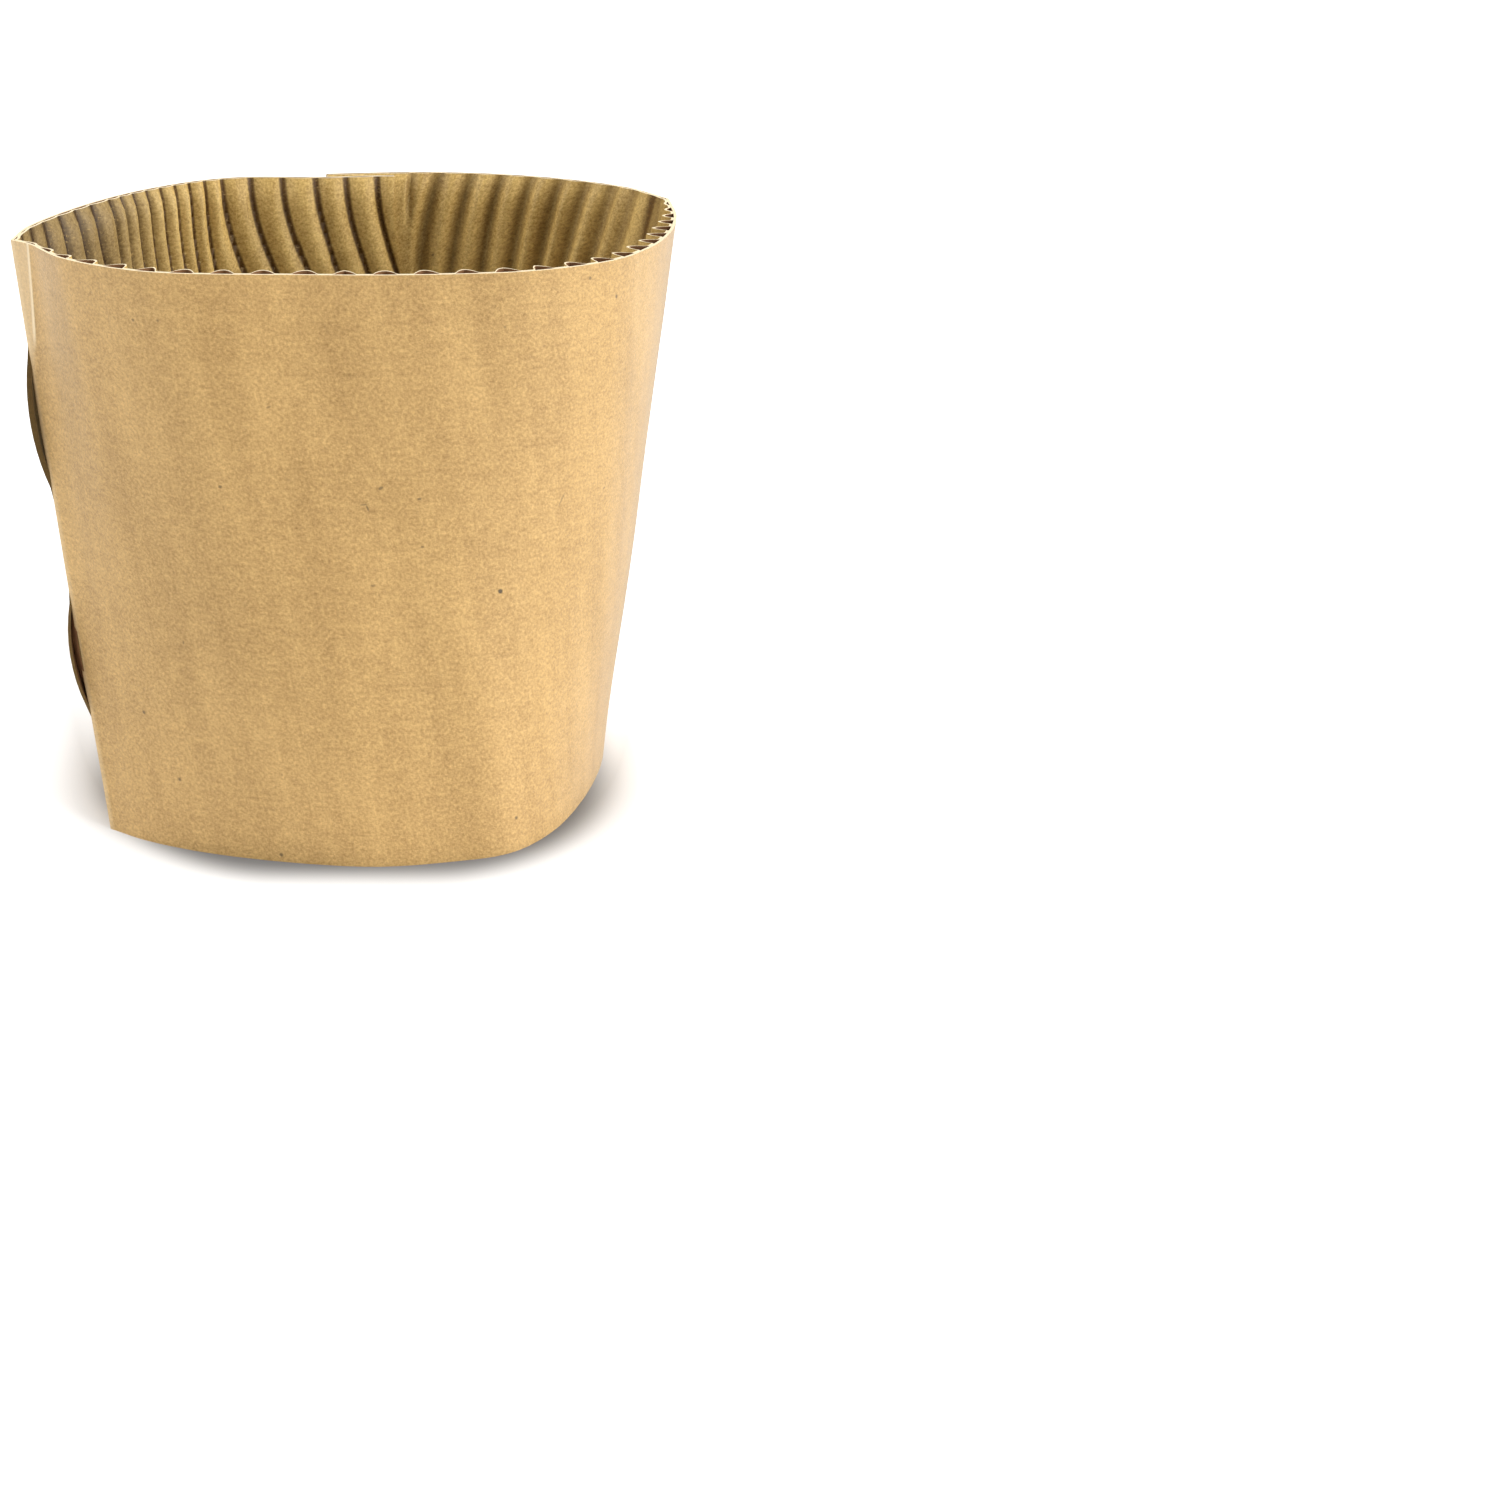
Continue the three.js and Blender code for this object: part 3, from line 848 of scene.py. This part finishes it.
class FinishSettings(bpy.types.PropertyGroup):
    """Colours of the papers, with painted shade in the grooves, the slits and the hollows, and
    how strongly they are marked and shine.
    """
    liner: FloatVectorProperty(
        name="Liner", description="Outer kraft liner", subtype="COLOR",
        default=(0.495, 0.302, 0.100))
    fluting: FloatVectorProperty(
        name="Fluting", description="Fluted paper inside", subtype="COLOR",
        default=(0.48, 0.316, 0.106))
    # Painted shade: the fluted paper's colour deep in its grooves, where shade falls
    groove_shade: FloatVectorProperty(
        name="Groove", description="Fluted paper deep in its grooves", subtype="COLOR",
        default=(0.085, 0.038, 0.003))
    # Painted shade: the crescents' cut edges, darker than the cut colour as they lie in shade
    slit_shade: FloatVectorProperty(
        name="Slit", description="Cut edges of the crescents", subtype="COLOR",
        default=(0.17, 0.11, 0.04))
    # Painted shade: the paper faces inside the flutes, which lie in shade
    hollow_shade: FloatVectorProperty(
        name="Hollow", description="Paper faces inside the flutes", subtype="COLOR",
        default=(0.20, 0.095, 0.04))
    cut: FloatVectorProperty(
        name="Cut edge", description="Cut edges of the papers", subtype="COLOR",
        default=(0.88, 0.74, 0.50))
    liner_contrast: FloatProperty(
        name="Liner contrast", description="Strength of the liner's clouds and grain",
        default=1.0)
    fluting_contrast: FloatProperty(
        name="Fluting contrast", description="Strength of the fluted paper's clouds and grain",
        default=1.3)
    liner_sheen: FloatProperty(
        name="Liner sheen", description="Pale glow of the liner where it is seen edgewise",
        default=0.58, subtype="FACTOR", min=0.0, max=1.0)


class StudioSettings(bpy.types.PropertyGroup):
    """Light of the studio."""
    world: FloatProperty(
        name="World", description="Strength of the even light all round", default=0.58)
    key: FloatProperty(
        name="Key light", description="Strength of the soft light from the right, in W/m2",
        default=4.3)
    fill: FloatProperty(
        name="Fill light", description="Strength of the soft light from the left, in W/m2",
        default=2.2)


# Operators

def place_piece(piece):
    """Every paper of the board rides with the sleeve and stands for its solid."""
    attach(piece, "root")
    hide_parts(NODE)


class SLEEVE_OT_liner(bpy.types.Operator):
    """The plain outer kraft liner, with its rims, ends and crescents"""
    bl_idname = "sleeve.liner"
    bl_label = "Liner"

    def execute(self, context):
        board = in_millimetres(context.scene.sleeve_board)
        finish = context.scene.sleeve_finish
        liner = paper_sheet("liner", board, liner_depths(board), board.liner_columns,
                            (KRAFT, SHADED_HOLLOW))
        dress(liner, finish, kraft_paper("kraft_liner", finish.liner, None,
                                         finish.liner_contrast, finish.liner_sheen))
        place_piece(liner)
        return {"FINISHED"}


class SLEEVE_OT_fluting(bpy.types.Operator):
    """The fluted inner paper, with open flutes at both rims"""
    bl_idname = "sleeve.fluting"
    bl_label = "Fluted paper"

    def execute(self, context):
        board = in_millimetres(context.scene.sleeve_board)
        finish = context.scene.sleeve_finish
        fluting = paper_sheet("fluting", board, fluting_depths(board), board.flute_columns,
                              (SHADED_HOLLOW, KRAFT))
        dress(fluting, finish, kraft_paper("kraft_fluting", finish.fluting, finish.groove_shade,
                                           finish.fluting_contrast, 0.0))
        place_piece(fluting)
        return {"FINISHED"}


class SLEEVE_OT_stage(bpy.types.Operator):
    """White floor, even world light, two soft lamps and the camera"""
    bl_idname = "sleeve.stage"
    bl_label = "Studio"

    def execute(self, context):
        studio = context.scene.sleeve_studio
        make_floor()
        make_world(context.scene, studio.world)
        soft_sun("key_light", studio.key, KEY_SOURCE)
        soft_sun("fill_light", studio.fill, FILL_SOURCE)
        make_camera(context.scene)
        context.scene.view_settings.view_transform = "Standard"
        return {"FINISHED"}


def make_floor():
    """A large white floor that the sleeve stands on. For the camera it glows, save close to
    the sleeve's foot, so that the rendered shadow shows there, deepened by a painted shadow."""
    half = FLOOR_HALF
    mesh = bpy.data.meshes.new("floor")
    corners = [(-half, -half, 0), (half, -half, 0), (half, half, 0), (-half, half, 0)]
    mesh.from_pydata(corners, [], [(0, 1, 2, 3)])
    mesh.materials.append(white_floor())
    floor = bpy.data.objects.new("floor", mesh)
    bpy.context.scene.collection.objects.link(floor)


def white_floor():
    """White ground with a painted shadow: its colour and its glow follow the reach from the
    sleeve's middle: the cube root of the summed cubes of the distances, as shares of the
    narrow rim's halves, and a little more at the sides. Behind the sleeve all of it glows."""
    graph = Graph("white_floor")
    spot = graph.node("ShaderNodeTexCoord", output=3)
    across = graph.node("ShaderNodeSeparateXYZ", {}, {"Vector": spot})
    along = across.output(1)
    side = (across / (BOTTOM_WIDTH / 2 * MM)).math("ABSOLUTE") ** 3.0
    front = (along / (BOTTOM_DEPTH / 2 * MM)).math("ABSOLUTE") ** 3.0
    low, high = SIDE_SPAN_MM
    aside = graph.band(across.math("ABSOLUTE"), low * MM, high * MM) * SIDE_GAIN
    reach = (side + front) ** (1 / 3) + aside
    behind = graph.band(along, FLOOR_SHADE_MM[0] * MM, FLOOR_SHADE_MM[1] * MM)
    # Painted shadow: the camera's glow fades out close to the foot
    pale = graph.band(reach, *SHADE_END).math("MAXIMUM", behind)
    # Painted shadow: the floor is darker close to the foot
    shadow_grey = CONTACT_SHADOW_GREY + graph.band(reach, *CONTACT_END) * SHADOW_GREY_GAIN
    seen = graph.node("ShaderNodeLightPath") * pale
    diffuse = graph.node("ShaderNodeBsdfDiffuse", {}, {"Color": graph.rgb(shadow_grey, shadow_grey, shadow_grey)})
    glow = graph.node("ShaderNodeEmission", {}, {"Color": graph.rgb(seen, seen, seen),
                                                 "Strength": FLOOR_GLOW})
    both = graph.node("ShaderNodeAddShader", {}, {0: diffuse, 1: glow})
    graph.node("ShaderNodeOutputMaterial", {}, {"Surface": both})
    return graph.material


def make_world(scene, strength):
    """Even light for the object, and plain white for what the camera sees."""
    world = bpy.data.worlds.new("studio")
    world.use_nodes = True
    tree = world.node_tree
    tree.nodes.clear()
    path = tree.nodes.new("ShaderNodeLightPath")
    choice = tree.nodes.new("ShaderNodeMix")
    choice.data_type = "FLOAT"
    choice.inputs[2].default_value = strength
    choice.inputs[3].default_value = 1.0
    background = tree.nodes.new("ShaderNodeBackground")
    output = tree.nodes.new("ShaderNodeOutputWorld")
    tree.links.new(path.outputs["Is Camera Ray"], choice.inputs[0])
    tree.links.new(choice.outputs[0], background.inputs["Strength"])
    tree.links.new(background.outputs[0], output.inputs["Surface"])
    scene.world = world


def soft_sun(name, strength, source):
    """A broad distant light that comes from a direction: its own Z axis turned there."""
    data = bpy.data.lights.new(name, "SUN")
    data.energy, data.angle = strength, math.radians(LAMP_WIDTH)
    lamp = bpy.data.objects.new(name, data)
    reach = math.hypot(source[0], source[1])
    lamp.rotation_euler = (math.atan2(reach, source[2]), 0.0,
                           math.atan2(source[1], source[0]) + math.pi / 2)
    bpy.context.scene.collection.objects.link(lamp)


def make_camera(scene):
    """The photograph's view: the shift puts the picture's own centre on the sleeve."""
    data = bpy.data.cameras.new("camera")
    data.sensor_width = SENSOR_MM
    data.lens = FOCAL_PIXELS * SENSOR_MM / PHOTO_SIZE
    data.shift_x = 0.5 - CENTRE_PIXEL[0] / PHOTO_SIZE
    data.shift_y = CENTRE_PIXEL[1] / PHOTO_SIZE - 0.5
    data.clip_start = 0.01
    camera = bpy.data.objects.new("camera", data)
    aim = np.array(CAMERA_AIM_MM)
    ahead = np.array((0.0, math.cos(CAMERA_PITCH), -math.sin(CAMERA_PITCH)))
    camera.location = (aim - ahead * CAMERA_DISTANCE_MM) * MM
    camera.rotation_euler = (math.pi / 2 - CAMERA_PITCH, 0.0, 0.0)
    scene.collection.objects.link(camera)
    scene.camera = camera


class SLEEVE_PT_panel(bpy.types.Panel):
    """Lists the sleeve's pieces and its studio"""
    bl_label = "Corrugated sleeve"
    bl_idname = "SLEEVE_PT_panel"
    bl_space_type = "VIEW_3D"
    bl_region_type = "UI"
    bl_category = "Sleeve"

    def draw(self, context):
        for operator in (SLEEVE_OT_liner, SLEEVE_OT_fluting, SLEEVE_OT_stage):
            self.layout.operator(operator.bl_idname)


CLASSES = (BoardSettings, FinishSettings, StudioSettings, SLEEVE_OT_liner,
           SLEEVE_OT_fluting, SLEEVE_OT_stage, SLEEVE_PT_panel)


def register():
    for cls in CLASSES:
        bpy.utils.register_class(cls)
    bpy.types.Scene.sleeve_board = PointerProperty(type=BoardSettings)
    bpy.types.Scene.sleeve_finish = PointerProperty(type=FinishSettings)
    bpy.types.Scene.sleeve_studio = PointerProperty(type=StudioSettings)


def unregister():
    del bpy.types.Scene.sleeve_studio
    del bpy.types.Scene.sleeve_finish
    del bpy.types.Scene.sleeve_board
    for cls in reversed(CLASSES):
        bpy.utils.unregister_class(cls)


def plain(box):
    """A box's corners as plain lists of numbers."""
    return [[float(c) for c in corner] for corner in box]


def main():
    register()
    bpy.ops.sleeve.liner()
    bpy.ops.sleeve.fluting()
    bpy.ops.sleeve.stage()


if __name__ == "__main__":
    main()
